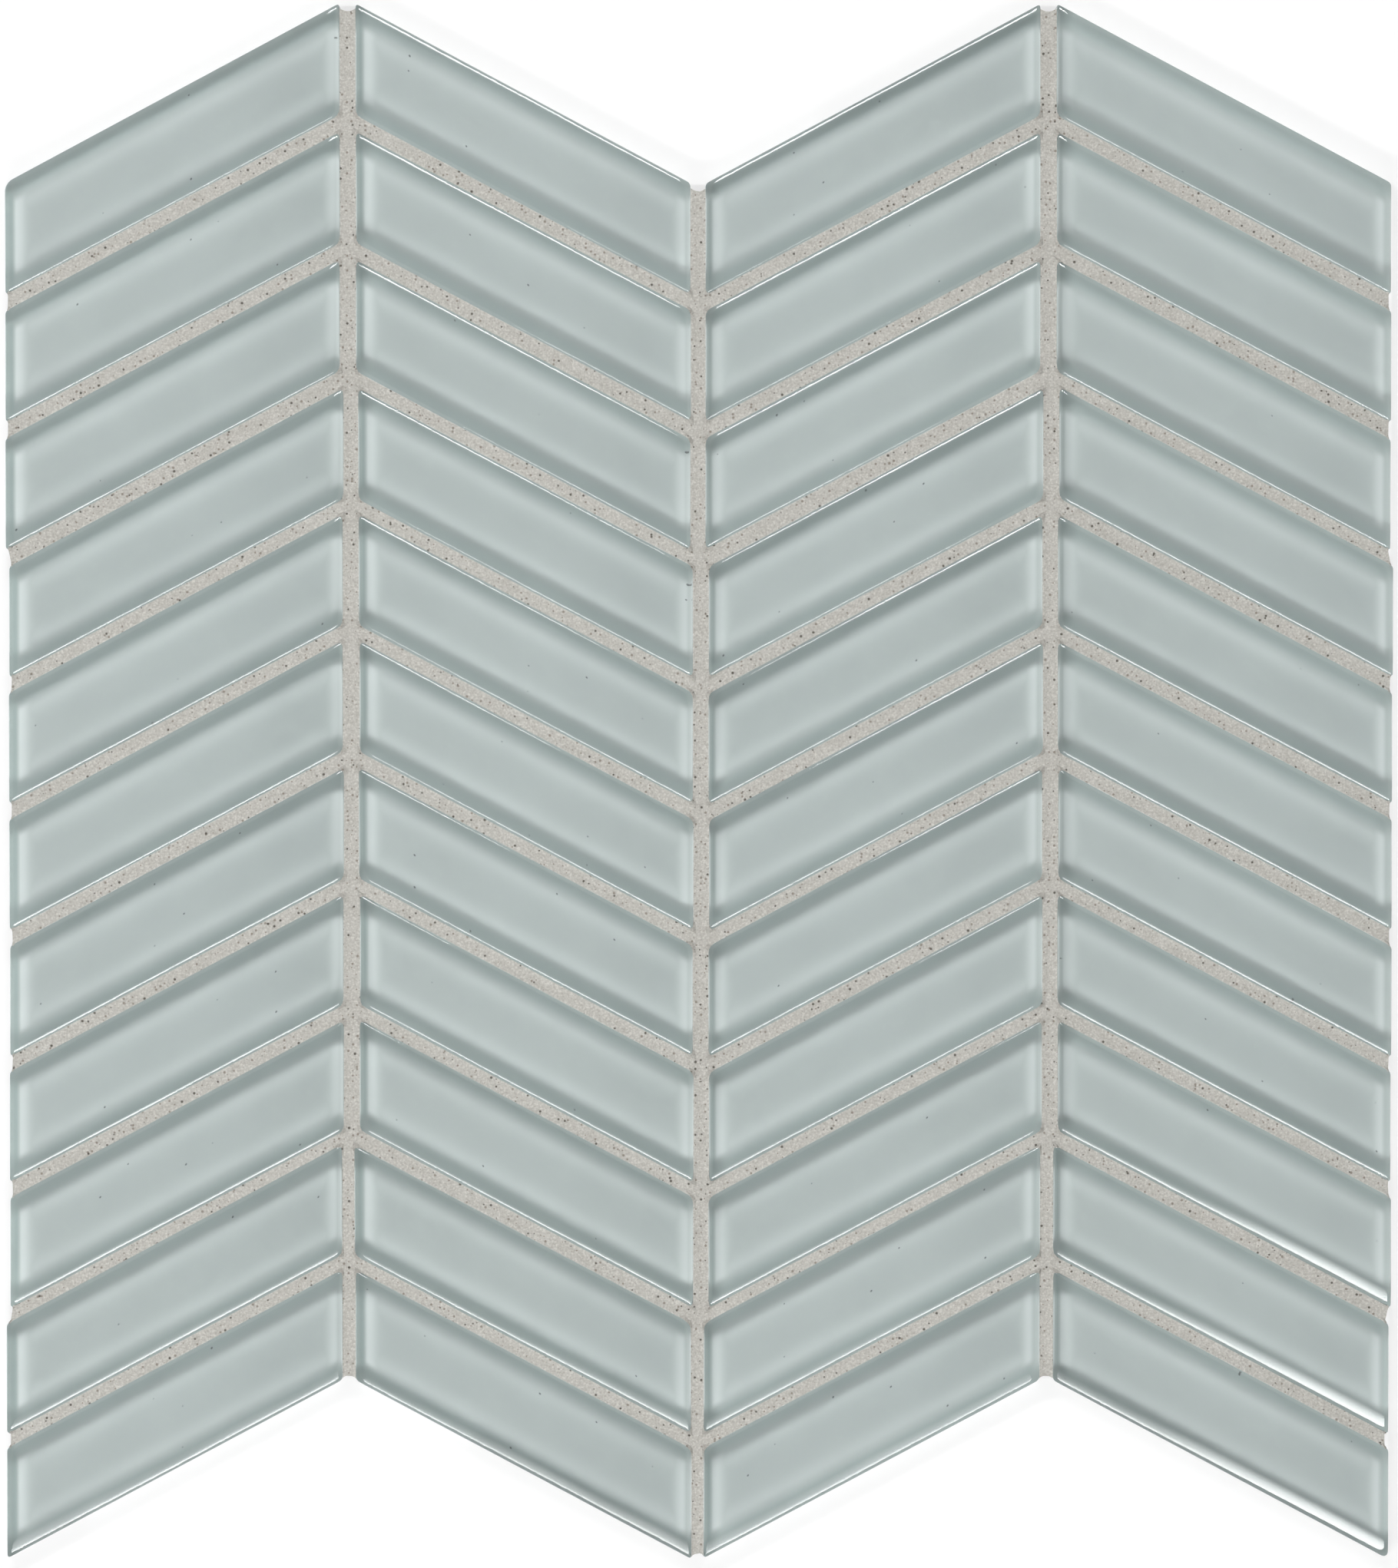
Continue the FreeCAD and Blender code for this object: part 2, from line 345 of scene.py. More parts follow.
def coat_finish():
    material, tree, shader = finish("colour_coat")
    place = place_node(tree, "ShaderNodeAttribute", attribute_name="chip_place").outputs["Vector"]
    along, across, lot = split(tree, place)
    own_place = joined(tree, add_up(tree, along, times(tree, lot, LOT_SPREAD)), across, 0.0)
    to_end = less(tree, CHIP_WIDTH / MM / 2, maths(tree, "ABSOLUTE", along))
    to_side = times(
        tree, less(tree, CHIP_EDGE / MM / 2, maths(tree, "ABSOLUTE", across)), math.cos(CHEVRON_ANGLE))
    on_right = maths(tree, "GREATER_THAN", along, 0.0)
    on_left = less(tree, 1.0, on_right)

    left_line = times(tree, hill(tree, to_end, *LEFT_LINE), LEFT_STRENGTH, on_left)
    right_line = times(tree, hill(tree, to_end, *RIGHT_LINE), RIGHT_STRENGTH, on_right)
    end_line = times(tree, add_up(tree, left_line, right_line), fade(tree, to_side, *END_LINE_STOP))
    side_line = times(
        tree, hill(tree, to_side, *SIDE_LINE), fade(tree, to_end, *SIDE_LINE_STOP), SIDE_STRENGTH)
    line = maths(tree, "MAXIMUM", end_line, side_line)
    cloud = fade(tree, grain(tree, own_place, CLOUD_SCALE, 2.0), *CLOUD_RANGE)
    pale = add_up(tree, line, cloud, times(tree, lot, LOT_PALENESS))

    # painted shade near the ends and the slanted sides
    painted_left_shade = times(tree, fade(tree, to_end, *LEFT_END_SHADE_RUN), on_left)
    painted_right_shade = times(tree, fade(tree, to_end, *RIGHT_END_SHADE_RUN), on_right)
    painted_end_shade = add_up(tree, painted_left_shade, painted_right_shade)
    painted_edge_shade = maths(tree, "MAXIMUM", fade(tree, to_side, *SIDE_SHADE_RUN), painted_end_shade)
    speck = times(tree, spots(tree, own_place, *SPECK_SPOTS), SPECK_STRENGTH)

    # painted shade, darker towards the right end of the chip
    colour = blend(tree, fade(tree, along, *RIGHT_SHADE_RUN), COAT_COLOUR, RIGHT_SHADE_COLOUR)
    colour = blend(tree, pale, colour, COAT_PALE)
    # the painted shade near the ends and slanted sides goes over the colour
    colour = blend(tree, painted_edge_shade, colour, EDGE_SHADE_COLOUR)
    colour = blend(tree, speck, colour, COAT_SPECK)
    tree.links.new(colour, shader.inputs["Base Color"])
    uneven = fade(tree, grain(tree, own_place, COAT_GRAIN), *COAT_ROUGHNESS)
    tree.links.new(uneven, shader.inputs["Roughness"])
    shader.inputs["Specular IOR Level"].default_value = 0.1
    return material


coat = coat_finish()
print("coat", COAT_COLOUR[:3])

# %% [markdown]
# The face is fire polished: clear, smooth, and just uneven enough to make a reflection waver. The
# sides are as they left the saw, so they scatter a little and show the green of thick glass.

# %% Clear face and sawn sides
FACE_COLOUR = (0.985, 0.995, 0.992, 1.0)
SAWN_COLOUR = (0.86, 0.93, 0.91, 1.0)
GLASS_IOR = 1.5
FACE_ROUGHNESS = (0.0, 0.04)
FACE_WAVE = 0.004
SAWN_ROUGHNESS = (0.12, 0.3)
SAWN_WAVE = 0.1
SMEAR_SCALE = 55.0
SMEAR_RANGE = (0.45, 0.75)
WAVE_SCALE = 60.0
WAVE_HEIGHT = 1.0 * MM


def glass_finish(name, colour, roughness, wave):
    material, tree, shader = finish(name)
    place = place_node(tree, "ShaderNodeTexCoord").outputs["Object"]
    shader.inputs["Base Color"].default_value = colour
    shader.inputs["Transmission Weight"].default_value = 1.0
    shader.inputs["IOR"].default_value = GLASS_IOR
    smear = fade(tree, grain(tree, place, SMEAR_SCALE, 4.0), *SMEAR_RANGE, *roughness)
    tree.links.new(smear, shader.inputs["Roughness"])
    bumped(tree, shader, grain(tree, place, WAVE_SCALE, 0.0), wave, WAVE_HEIGHT)
    return material


clear_face = glass_finish("clear_face", FACE_COLOUR, FACE_ROUGHNESS, FACE_WAVE)
sawn_side = glass_finish("sawn_side", SAWN_COLOUR, SAWN_ROUGHNESS, SAWN_WAVE)
print("glass bends light by", GLASS_IOR)

# %% [markdown]
# Every chip has the same rule, so one tree makes all 44. It starts from a box of plain squares and
# moves its points. Towards each edge the points crowd together, which leaves enough of them for
# the rounded rim and few for the flat middle. Then the box is leant over by the chevron angle, the
# face sinks towards the rim, and the corners are rounded in plan.

# %% The rule of a glass chip
SLOPE_POWER = 1.5
ROUND_END_RUN = (-34.0 * MM, 30.0 * MM)
UNEVEN_SCALE = 45.0
UNEVEN_LEAST = 0.8
UNEVEN_SPREAD = 0.4
LOT_STEP = 0.1
NEAR_NOTHING = 0.0001
CHIP_INPUTS = [
    ("Width", "number"), ("Edge", "number"), ("Depth", "number"), ("Lean", "number"),
    ("Corner radius", "number"), ("Blunt upper left", "number"), ("Blunt lower right", "number"),
    ("Arris radius", "number"), ("Side depth", "number"), ("Side reach", "number"),
    ("End depth", "number"), ("End reach", "number"), ("Round end", "number"),
    ("Rim depth", "number"), ("Rim reach", "number"), ("Crowding", "number"),
    ("Steps along", "count"), ("Steps across", "count"),
    ("Middle", "vector"), ("Turn", "number"), ("Lot", "number"),
    ("Face", "material"), ("Side", "material"), ("Back", "material"),
]


def chip_rule():
    tree, given, result = shape_tree("glass chip", CHIP_INPUTS)
    box = place_node(tree, "GeometryNodeMeshCube", {
        "Size": (2.0, 2.0, 2.0), "Vertices X": given["Steps along"],
        "Vertices Y": given["Steps across"], "Vertices Z": 2})
    kept = place_node(
        tree, "GeometryNodeCaptureAttribute", {"Geometry": box.outputs["Mesh"]}, domain="FACE")
    kept.capture_items.new("VECTOR", "Facing")
    tree.links.new(tree.nodes.new("GeometryNodeInputNormal").outputs[0], kept.inputs[1])
    facing = split(tree, kept.outputs[1])[2]

    x, y, z = split(tree, tree.nodes.new("GeometryNodeInputPosition").outputs[0])
    half_width = times(tree, given["Width"], 0.5)
    half_edge = times(tree, given["Edge"], 0.5)
    squash = maths(tree, "COSINE", maths(tree, "ARCTANGENT", given["Lean"]))

    def from_edge(position, half):
        inward = less(tree, 1.0, maths(tree, "ABSOLUTE", position))
        return times(tree, half, maths(tree, "POWER", inward, given["Crowding"]))

    to_end = from_edge(x, half_width)
    to_side = times(tree, from_edge(y, half_edge), squash)
    nearest = maths(tree, "MINIMUM", to_end, to_side)

    upper_left = times(tree, maths(tree, "LESS_THAN", x, 0.0), maths(tree, "GREATER_THAN", y, 0.0))
    lower_right = times(tree, maths(tree, "GREATER_THAN", x, 0.0), maths(tree, "LESS_THAN", y, 0.0))
    radius = add_up(
        tree, given["Corner radius"], times(tree, given["Blunt upper left"], upper_left),
        times(tree, given["Blunt lower right"], lower_right))
    end_share = maths(tree, "MAXIMUM", less(tree, 1.0, maths(tree, "DIVIDE", to_end, radius)), 0.0)
    side_share = maths(tree, "MAXIMUM", less(tree, 1.0, maths(tree, "DIVIDE", to_side, radius)), 0.0)
    reach = maths(tree, "SQRT", add_up(
        tree, times(tree, end_share, end_share), times(tree, side_share, side_share)))
    larger = maths(tree, "MAXIMUM", end_share, side_share)
    pull = less(tree, 1.0, maths(tree, "DIVIDE", larger, maths(tree, "MAXIMUM", reach, NEAR_NOTHING)))
    pull = times(tree, pull, maths(tree, "GREATER_THAN", reach, NEAR_NOTHING))
    end_place = add_up(tree, to_end, times(tree, radius, end_share, pull))
    side_place = add_up(tree, to_side, times(tree, radius, side_share, pull))
    along = times(tree, maths(tree, "SIGN", x), less(tree, half_width, end_place))
    across = times(
        tree, maths(tree, "SIGN", y), less(tree, half_edge, maths(tree, "DIVIDE", side_place, squash)))

    sample = joined(tree, along, across, times(tree, given["Lot"], LOT_STEP))
    uneven = place_node(tree, "ShaderNodeTexNoise", {
        "Vector": sample, "Scale": UNEVEN_SCALE, "Detail": 0.0}).outputs["Fac"]
    wobble = add_up(tree, UNEVEN_LEAST, times(tree, uneven, UNEVEN_SPREAD))

    def sunk(distance, label, power):
        rest = maths(tree, "MAXIMUM", less(
            tree, 1.0, maths(tree, "DIVIDE", distance, given[label + " reach"])), 0.0)
        return times(tree, given[label + " depth"], wobble, maths(tree, "POWER", rest, power))

    arris = given["Arris radius"]
    short = maths(tree, "MAXIMUM", less(tree, arris, nearest), 0.0)
    rounding = less(tree, arris, maths(tree, "SQRT", maths(
        tree, "MAXIMUM", less(tree, times(tree, arris, arris), times(tree, short, short)), 0.0)))
    rounder = times(
        tree, given["Round end"], maths(tree, "LESS_THAN", y, 0.0), fade(tree, along, *ROUND_END_RUN))
    side = times(tree, sunk(to_side, "Side", SLOPE_POWER), add_up(tree, 1.0, rounder))
    face = less(tree, given["Depth"], add_up(
        tree, rounding, sunk(to_end, "End", SLOPE_POWER), side, sunk(nearest, "Rim", 2.0)))
    height = times(tree, face, maths(tree, "GREATER_THAN", z, 0.0))

    leant = joined(tree, along, add_up(tree, across, times(tree, given["Lean"], along)), height)
    turned = place_node(
        tree, "ShaderNodeVectorRotate", {"Vector": leant, "Angle": given["Turn"]},
        rotation_type="Z_AXIS").outputs[0]
    set_down = place_node(
        tree, "ShaderNodeVectorMath", {0: turned, 1: given["Middle"]}, operation="ADD").outputs[0]

    place = joined(
        tree, maths(tree, "DIVIDE", along, MM), maths(tree, "DIVIDE", across, MM), given["Lot"])
    marked = place_node(tree, "GeometryNodeStoreNamedAttribute", {
        "Geometry": kept.outputs[0], "Name": "chip_place", "Value": place},
        data_type="FLOAT_VECTOR", domain="POINT")
    shape = place_node(tree, "GeometryNodeSetPosition", {
        "Geometry": marked.outputs[0], "Position": set_down}).outputs[0]
    is_face = maths(tree, "GREATER_THAN", facing, 0.5)
    is_back = maths(tree, "LESS_THAN", facing, -0.5)
    shape = place_node(tree, "GeometryNodeSetShadeSmooth", {
        "Geometry": shape, "Shade Smooth": is_face}).outputs[0]
    shape = place_node(tree, "GeometryNodeRealizeInstances", {"Geometry": shape}).outputs[0]
    shape = place_node(tree, "GeometryNodeSetMaterial", {
        "Geometry": shape, "Material": given["Side"]}).outputs[0]
    for where, label in ((is_face, "Face"), (is_back, "Back")):
        shape = place_node(tree, "GeometryNodeSetMaterial", {
            "Geometry": shape, "Selection": where, "Material": given[label]}).outputs[0]
    tree.links.new(shape, result)
    return tree


glass_chip = chip_rule()
print("the chip's rule has", len(glass_chip.nodes), "nodes")

# %% [markdown]
# Now the tree runs once for each chip, with its own place, turn and lot. As in the photograph, the
# first and the last one have lost the point of their outer corner, and the last three of the right
# column have a rounder rim towards their outer end, where a wide strip of light lies. Glass lets
# lamp light through, and a shadow ray can't bend, so the chips cast no shadow of their own: the
# coat is then lit straight through the face, and the grout walls shade it along the slanted sides.

# %% Make the 44 chips
CORNER_RADIUS = 0.65 * MM
BLUNT_CORNER = 0.85 * MM
FIRST_CHIP = (0, 0)
LAST_CHIP = (COLUMNS - 1, ROWS - 1)
ROUND_CHIPS = ((3, 8), (3, 9), (3, 10))
ROUND_END = 0.9
ARRIS_RADIUS = 0.2 * MM
RIM_DEPTH = 0.2 * MM
RIM_REACH = 0.9 * MM
SIDE_DEPTH = 0.4 * MM
SIDE_REACH = 4.0 * MM
END_DEPTH = 0.25 * MM
END_REACH = 2.2 * MM
STEPS_ALONG = 49
STEPS_ACROSS = 37
CROWDING = 2.6

chips = []
for (column, row), (shift_x, shift_y, turn) in settings.items():
    name = chip_name(column, row)
    chip = made_by(glass_chip, "glass_" + name, {
        "Width": CHIP_WIDTH + of_row(WIDTH_LOTS, row), "Edge": CHIP_EDGE, "Depth": CHIP_DEPTH,
        "Lean": rises(column) * CLIMB, "Corner radius": CORNER_RADIUS,
        "Blunt upper left": BLUNT_CORNER if (column, row) == FIRST_CHIP else 0.0,
        "Blunt lower right": BLUNT_CORNER if (column, row) == LAST_CHIP else 0.0,
        "Arris radius": ARRIS_RADIUS, "Side depth": SIDE_DEPTH, "Side reach": SIDE_REACH,
        "End depth": END_DEPTH, "End reach": END_REACH,
        "Round end": ROUND_END if (column, row) in ROUND_CHIPS else 0.0,
        "Rim depth": RIM_DEPTH, "Rim reach": RIM_REACH, "Crowding": CROWDING,
        "Steps along": STEPS_ALONG, "Steps across": STEPS_ACROSS,
        "Middle": (column_middle(column) + shift_x, row_middle(row) + shift_y, CHIP_BACK),
        "Turn": turn, "Lot": setter.random(),
        "Face": clear_face, "Side": sawn_side, "Back": coat,
    })
    chip.visible_shadow = False
    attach(chip, "root")
    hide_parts(name)
    chips.append(chip)
print("made", len(chips), "chips of", len(chips[0].data.polygons), "faces")

# %% [markdown]
# Sanded grout is a paste of cement and fine sand. It is the colour of pale stone, with lighter
# grains, darker ones and small open pits where a grain was rubbed out or a bubble burst.
# The pits are painted nearly black, as painted shade inside them.

# %% Sanded grout finish
GROUT_COLOUR = (0.510, 0.496, 0.459, 1.0)
GROUT_DARK = (0.37, 0.35, 0.315, 1.0)
GROUT_LIGHT = (0.585, 0.573, 0.54, 1.0)
SAND_PALE = (0.84, 0.82, 0.77, 1.0)
SAND_BROWN = (0.235, 0.20, 0.165, 1.0)
# Painted shade: the colour of the shade inside a pit.
PIT_SHADE_COLOUR = (0.09, 0.08, 0.065, 1.0)
PALE_SPOTS = (1000.0, 0.25, 0.36)
BROWN_SPOTS = (1000.0, 0.5, 0.36)
PIT_SPOTS = (740.0, 0.45, 0.27)
PALE_STRENGTH = 0.4
BROWN_STRENGTH = 0.8
PIT_SHADE_STRENGTH = 0.9
CLOUD_GRAIN = (160.0, 4.0, 0.6)
CLOUD_LIGHT = (0.35, 0.7, 0.0, 0.3)
SAND_GRAIN = (2300.0, 2.0, 0.6)
SAND_DARK = (0.5, 0.68, 0.0, 0.6)
SAND_LIGHT = (0.34, 0.46, 0.35, 0.0)
GRAIN_HEIGHT = 0.5
PALE_HEIGHT = 0.3
PIT_HEIGHT = -1.0
SAND_BUMP = 0.2 * MM
BUMP_STRENGTH = 0.5


def grout_finish():
    material, tree, shader = finish("sanded_grout")
    place = place_node(tree, "ShaderNodeTexCoord").outputs["Object"]
    cloud = grain(tree, place, *CLOUD_GRAIN)
    fine = grain(tree, place, *SAND_GRAIN)
    colour = blend(tree, fade(tree, cloud, *CLOUD_LIGHT), GROUT_COLOUR, GROUT_LIGHT)
    colour = blend(tree, fade(tree, fine, *SAND_DARK), colour, GROUT_DARK)
    colour = blend(tree, fade(tree, fine, *SAND_LIGHT), colour, SAND_PALE)
    pale = spots(tree, place, *PALE_SPOTS)
    brown = spots(tree, place, *BROWN_SPOTS)
    pits = spots(tree, place, *PIT_SPOTS)
    colour = blend(tree, times(tree, pale, PALE_STRENGTH), colour, SAND_PALE)
    colour = blend(tree, times(tree, brown, BROWN_STRENGTH), colour, SAND_BROWN)
    # painted shade inside the pits
    colour = blend(tree, times(tree, pits, PIT_SHADE_STRENGTH), colour, PIT_SHADE_COLOUR)
    tree.links.new(colour, shader.inputs["Base Color"])
    shader.inputs["Roughness"].default_value = 0.95
    shader.inputs["Specular IOR Level"].default_value = 0.25
    height = add_up(
        tree, times(tree, fine, GRAIN_HEIGHT), times(tree, pale, PALE_HEIGHT),
        times(tree, pits, PIT_HEIGHT))
    bumped(tree, shader, height, BUMP_STRENGTH, SAND_BUMP)
    return material


grout_sand = grout_finish()
print("grout", GROUT_COLOUR[:3])

# %% [markdown]
# The grout fills every joint as one piece. Leaning each column upright again turns its joints into
# a plain grid: level strips between the rows, and upright strips beside the column. So the top is
# laid out on grid lines, with small cells wherever there is a joint and none where a chip sits.
# Neighbouring columns share the line along the middle of their joint, which welds them together.

# %% Lay out the grout's grid
CELL = 0.6 * MM


def cells_in(length):
    return max(2, round(length / CELL))


def grid_lines(stretches):
    lines = [stretches[0][0]]
    kinds = []
    for start, end, kind in stretches:
        count = cells_in(abs(end - start))
        lines += list(np.linspace(start, end, count + 1)[1:])
        kinds += [kind] * count
    return np.array(lines), kinds


def column_stretches(column):
    half = CHIP_WIDTH / 2
    stretches = [(-half, half, "chip")]
    if column > 0:
        stretches.insert(0, (-COLUMN_PITCH / 2, -half, "joint"))
    if column < COLUMNS - 1:
        stretches.append((half, COLUMN_PITCH / 2, "joint"))
    return stretches


def row_stretches():
    half = CHIP_EDGE / 2
    stretches = []
    for row in range(ROWS):
        stretches.append((row_middle(row) + half, row_middle(row) - half, "chip"))
        if row < ROWS - 1:
            stretches.append((row_middle(row) - half, row_middle(row + 1) + half, "joint"))
    return stretches


print("a grout cell is about", CELL / MM, "mm")

# %% [markdown]
# The grout was wiped back, so it meets the straight side of each chip a millimetre below the face.
# Only at the corners it still laps onto the rounded rim. Between the chips the jointer left it
# hollow, and grains of sand stand out of it or leave a dent. All of this is one height for each
# grid point, from its distance to the nearest chip and from seeded noise.

# %% Shape the grout's face
RECESS = 1.1 * MM
CORNER_LAP = 0.42 * MM
CORNER_SPREAD = 0.75 * MM
LAP_WANDER = 0.03 * MM
LAP_SKIN = 0.012 * MM
FULL_LAP = 0.12 * MM
HOLLOW = 0.25 * MM
SAND_RELIEF = 0.05 * MM
WALL_CLEARANCE = 0.03 * MM
LAP_WAVES = (1.1 * MM, 9.1)
SAND_WAVES = (0.9 * MM, 1.3)
BROAD_WAVES = (3.0 * MM, 5.2)
BROAD_SHARE = 0.7
TOUCHING = 1e-7
HALF_WIDTH = CHIP_WIDTH / 2
HALF_EDGE = CHIP_EDGE / 2
ROW_GAP = ROW_PITCH - CHIP_EDGE
SQUASH = math.cos(CHEVRON_ANGLE)


def glass_drop(distance):
    short = max(ARRIS_RADIUS - distance, 0.0)
    rounding = ARRIS_RADIUS - math.sqrt(ARRIS_RADIUS ** 2 - short ** 2)
    rim = RIM_DEPTH * max(1.0 - distance / RIM_REACH, 0.0) ** 2
    return rounding + rim + SIDE_DEPTH * max(1.0 - distance / SIDE_REACH, 0.0) ** SLOPE_POWER


def wander(x, y, scale, seed):
    return noise.noise(Vector((x / scale, y / scale, seed)))


def lap_at(x, y, corner_distance):
    corner = CORNER_LAP * math.exp(-corner_distance / CORNER_SPREAD)
    return corner + LAP_WANDER * wander(x, y, *LAP_WAVES) - WALL_CLEARANCE


def lap_height(lap):
    share = min(max(lap / FULL_LAP, 0.0), 1.0)
    on_glass = glass_drop(max(lap, 0.0)) - LAP_SKIN
    return CHIP_FACE - RECESS - share * (on_glass - RECESS)


def hollow_height(x, y, gap):
    deep = 1 - (1 - min(gap / (UPRIGHT_JOINT / 2), 1.0)) ** 2
    sand = wander(x, y, *SAND_WAVES) + BROAD_SHARE * wander(x, y, *BROAD_WAVES)
    return CHIP_FACE - RECESS - HOLLOW * deep + SAND_RELIEF * sand


def nearest_row(level):
    row = round((row_middle(0) - level) / ROW_PITCH)
    return min(max(row, 0), ROWS - 1)


def past_chip(x, level):
    return abs(x) - HALF_WIDTH, abs(level - row_middle(nearest_row(level))) - HALF_EDGE


def wall_steps(x, level, lap):
    row = nearest_row(level)
    past_end, past_side = past_chip(x, level)
    push_x = push_y = clear_x = clear_y = 0.0
    if abs(past_end) < TOUCHING:
        wider = of_row(WIDTH_LOTS, row) / 2
        push_x = -math.copysign(1.0, x) * (lap - wider)
        clear_x = math.copysign(1.0, x) * (WALL_CLEARANCE + wider)
    if abs(past_side) < TOUCHING:
        push_y = -math.copysign(1.0, level - row_middle(row)) * lap / SQUASH
        clear_y = math.copysign(WALL_CLEARANCE, level - row_middle(row)) / SQUASH
    return (push_x, push_y), (clear_x, clear_y)


print("the middle of a joint lies", (RECESS + HOLLOW) / MM, "mm below the face")

# %% [markdown]
# A grid point has to follow the chips beside it, which were shifted and turned a little. Along a
# chip it moves with that chip, and across a joint the move passes over from one chip to the next.

# %% Move the grid with the chips


def to_sheet(column, x, level):
    return column_middle(column) + x, level + rises(column) * CLIMB * x


def chip_move(column, row, x, y):
    shift_x, shift_y, turn = settings[column, row]
    return shift_x - turn * (y - row_middle(row)), shift_y + turn * (x - column_middle(column))


def moved_with_chips(column, x, level):
    sheet_x, sheet_y = to_sheet(column, x, level)
    above = min(max(math.floor((row_middle(0) - level) / ROW_PITCH), 0), ROWS - 1)
    below = min(above + 1, ROWS - 1)
    into_joint = row_middle(above) - HALF_EDGE - level
    share = min(max(into_joint / ROW_GAP, 0.0), 1.0)
    move_above = chip_move(column, above, sheet_x, sheet_y)
    move_below = chip_move(column, below, sheet_x, sheet_y)
    return tuple(first + share * (last - first) for first, last in zip(move_above, move_below))


print("the first chip moved by", [round(step / MM, 3) for step in settings[0, 0][:2]], "mm")

# %% [markdown]
# Where a joint runs out at the edge of the sheet, a finger has wiped its end back and left it
# hollow. The ends at the sides are drawn in. An upright joint would stand up as a peak between two
# slanted chips, so its last stretch is lowered over a longer run.

# %% Wipe the free ends
SIDE_END_BACK = 0.4 * MM
TOP_END_BACK = 1.1 * MM
FREE_END_HOLLOW = 0.6 * MM
FREE_END_RUN = 8.0 * MM
levels, level_kinds = grid_lines(row_stretches())
top_level = levels[0]
bottom_level = levels[-1]


def free_end(back, across):
    return back + FREE_END_HOLLOW * (1 - min(abs(across), 1.0) ** 2)


def side_end(column, x, level):
    at_left = column == 0 and x < TOUCHING - HALF_WIDTH
    at_right = column == COLUMNS - 1 and x > HALF_WIDTH - TOUCHING
    if not at_left and not at_right:
        return 0.0
    past_side = past_chip(x, level)[1]
    across = 2 * (past_side - ROW_GAP / 2) / ROW_GAP
    return -math.copysign(free_end(SIDE_END_BACK, across), x)


def end_drop(column, x, level):
    if abs(x) < HALF_WIDTH - TOUCHING:
        return 0.0
    across = 2 * (COLUMN_PITCH / 2 - abs(x)) / UPRIGHT_JOINT
    peak = rises(column) * CLIMB * math.copysign(abs(x) - HALF_WIDTH, x)
    from_top = max(1 - (top_level - level) / FREE_END_RUN, 0.0)
    from_bottom = max(1 - (level - bottom_level) / FREE_END_RUN, 0.0)
    top_drop = from_top * (peak + free_end(TOP_END_BACK, across))
    return top_drop + from_bottom * (peak - free_end(SIDE_END_BACK, across))


print("joints run from", round(top_level / MM, 1), "to", round(bottom_level / MM, 1), "mm")

# %% [markdown]
# Now each grid point gets its place, and the cells of the joints become faces. A point at a chip's
# wall is also given the place of its foot, which stands clear of the glass. A known point is used
# again, so neighbouring columns meet without a seam.

# %% Pour the grout
grout_points = []
known_points = {}
wall_place = {}
top_faces = []
flat_faces = []


def known_point(column, x, level, place):
    key = tuple(round(step / MM, 3) for step in to_sheet(column, x, level))
    if key not in known_points:
        known_points[key] = len(grout_points)
        grout_points.append(place)
    return known_points[key]


def lay_point(column, x, level):
    sheet_x, sheet_y = to_sheet(column, x, level)
    past_end, past_side = past_chip(x, level)
    gap = math.hypot(max(past_end, 0.0), max(past_side, 0.0) * SQUASH)
    push = clear = (0.0, 0.0)
    if gap < TOUCHING:
        free = abs(level) > row_middle(0)
        corner = CHIP_WIDTH if free else math.hypot(past_end, past_side * SQUASH)
        lap = lap_at(sheet_x, sheet_y, corner)
        push, clear = wall_steps(x, level, lap)
        height = lap_height(lap) + SAND_RELIEF * wander(sheet_x, sheet_y, *SAND_WAVES)
    else:
        height = hollow_height(sheet_x, sheet_y, gap)
    near_x = x + side_end(column, x, level)
    near_level = level - end_drop(column, x, level)
    shift_x, shift_y = moved_with_chips(column, x, level)
    face_x, face_y = to_sheet(column, near_x + push[0], near_level + push[1])
    wall_x, wall_y = to_sheet(column, near_x + clear[0], near_level + clear[1])
    point = known_point(column, x, level, (face_x + shift_x, face_y + shift_y, height))
    wall_place[point] = (wall_x + shift_x, wall_y + shift_y)
    return point


def beside_joint(kinds, line):
    return "joint" in kinds[max(line - 1, 0):line + 1]


def level_strips():
    strips = []
    for j, kind in enumerate(level_kinds):
        if kind == "joint":
            if not strips or strips[-1][-1] != j:
                strips.append([j])
            strips[-1].append(j + 1)
    return strips


def fan(points, near, far, strip):
    half = len(strip) // 2
    upper = points[far, strip[0]]
    lower = points[far, strip[-1]]
    side = [points[near, j] for j in strip]
    faces = [(side[half], lower, upper)]
    for k in range(len(side) - 1):
        faces.append((side[k], side[k + 1], upper if k < half else lower))
    return faces if near < far else [face[::-1] for face in faces]


def wall_to_wall(points, first, last, strip):
    top = strip[0]
    low = strip[-1]
    faces = fan(points, first, first + 1, strip) + fan(points, last, last - 1, strip)
    for i in range(first + 1, last - 1):
        faces.append((points[i, top], points[i, low], points[i + 1, low], points[i + 1, top]))
    return faces


